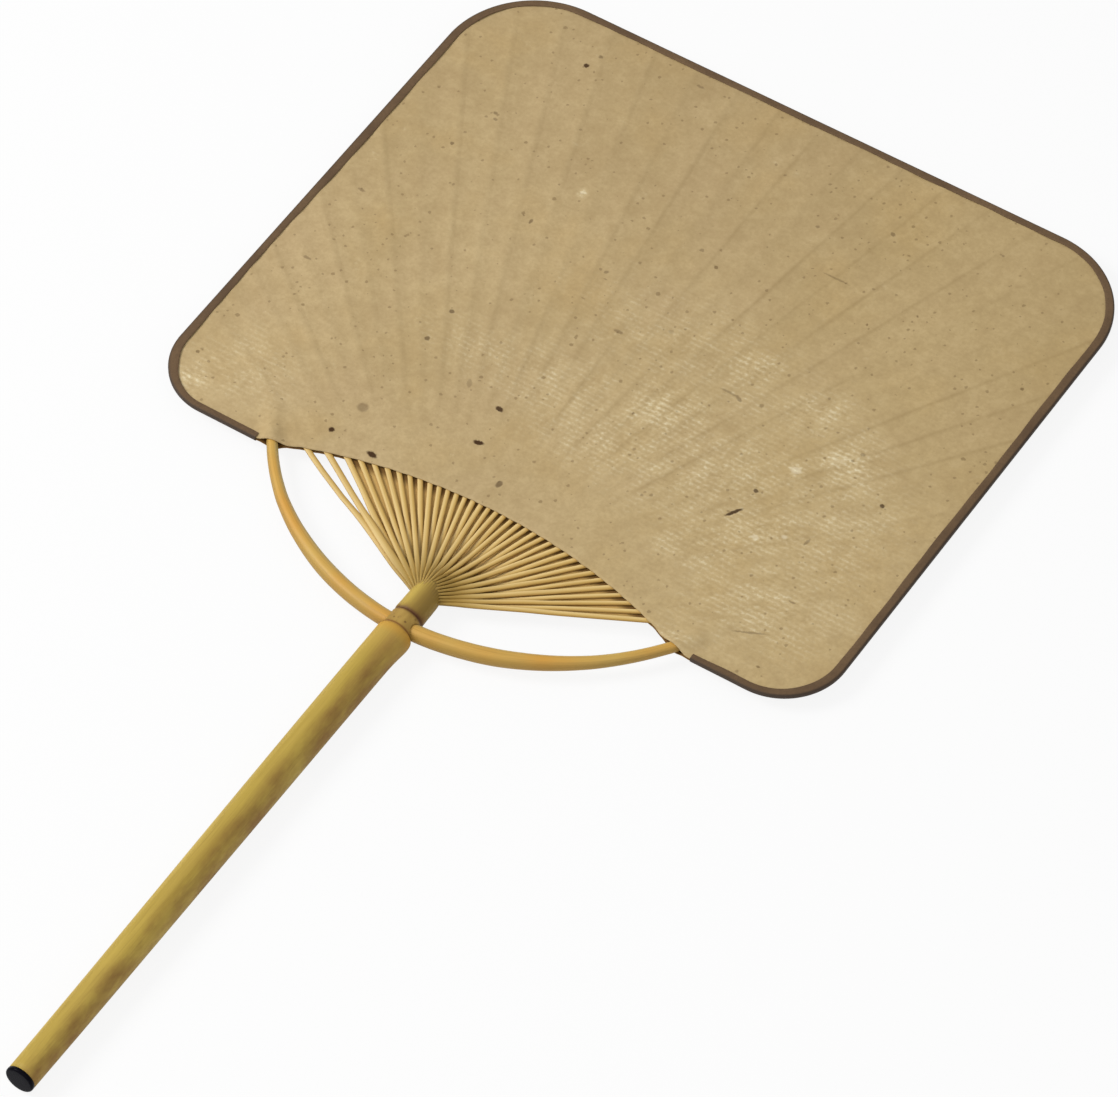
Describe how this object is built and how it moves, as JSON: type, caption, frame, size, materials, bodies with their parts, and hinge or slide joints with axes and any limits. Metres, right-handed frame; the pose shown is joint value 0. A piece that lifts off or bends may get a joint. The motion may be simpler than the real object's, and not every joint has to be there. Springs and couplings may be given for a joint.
{
  "type": "paper hand fan",
  "caption": "Flat, non-folding paper hand fan: a square head with round corners on ribs split from its round bamboo handle, spread by a bent bamboo bow.",
  "frame": {"origin": "bottom centre of the box round the fan as it lies on its back", "axes": "+Y from the handle to the head, +Z out of the front paper, +X to the right as the front is seen with the handle down"},
  "size_m": [0.2426, 0.44, 0.0113],
  "materials": {
    "bamboo": "smooth natural bamboo skin, olive yellow, satin, with pale cut faces on the ribs",
    "black_lacquer": "black lacquer on wood, glossy",
    "bow_bamboo": "shaved bamboo, satin, light yellow brown",
    "thread": "plain undyed cotton thread",
    "tan_paper": "handmade tan paper with fine laid lines and dark fibre flecks, slightly shiny in streaks",
    "brown_paper": "handmade paper, a shade browner than the front sheet, matt",
    "edge_paper": "dark brown paper strip pasted over the edge, matt"
  },
  "bodies": {
    "root": {"split_culm": "bamboo", "handle_plug": "black_lacquer", "bow": "bow_bamboo", "lacing_thread": "thread", "front_paper": "tan_paper", "back_paper": "brown_paper", "edge_binding": "edge_paper"}
  },
  "joints": []
}
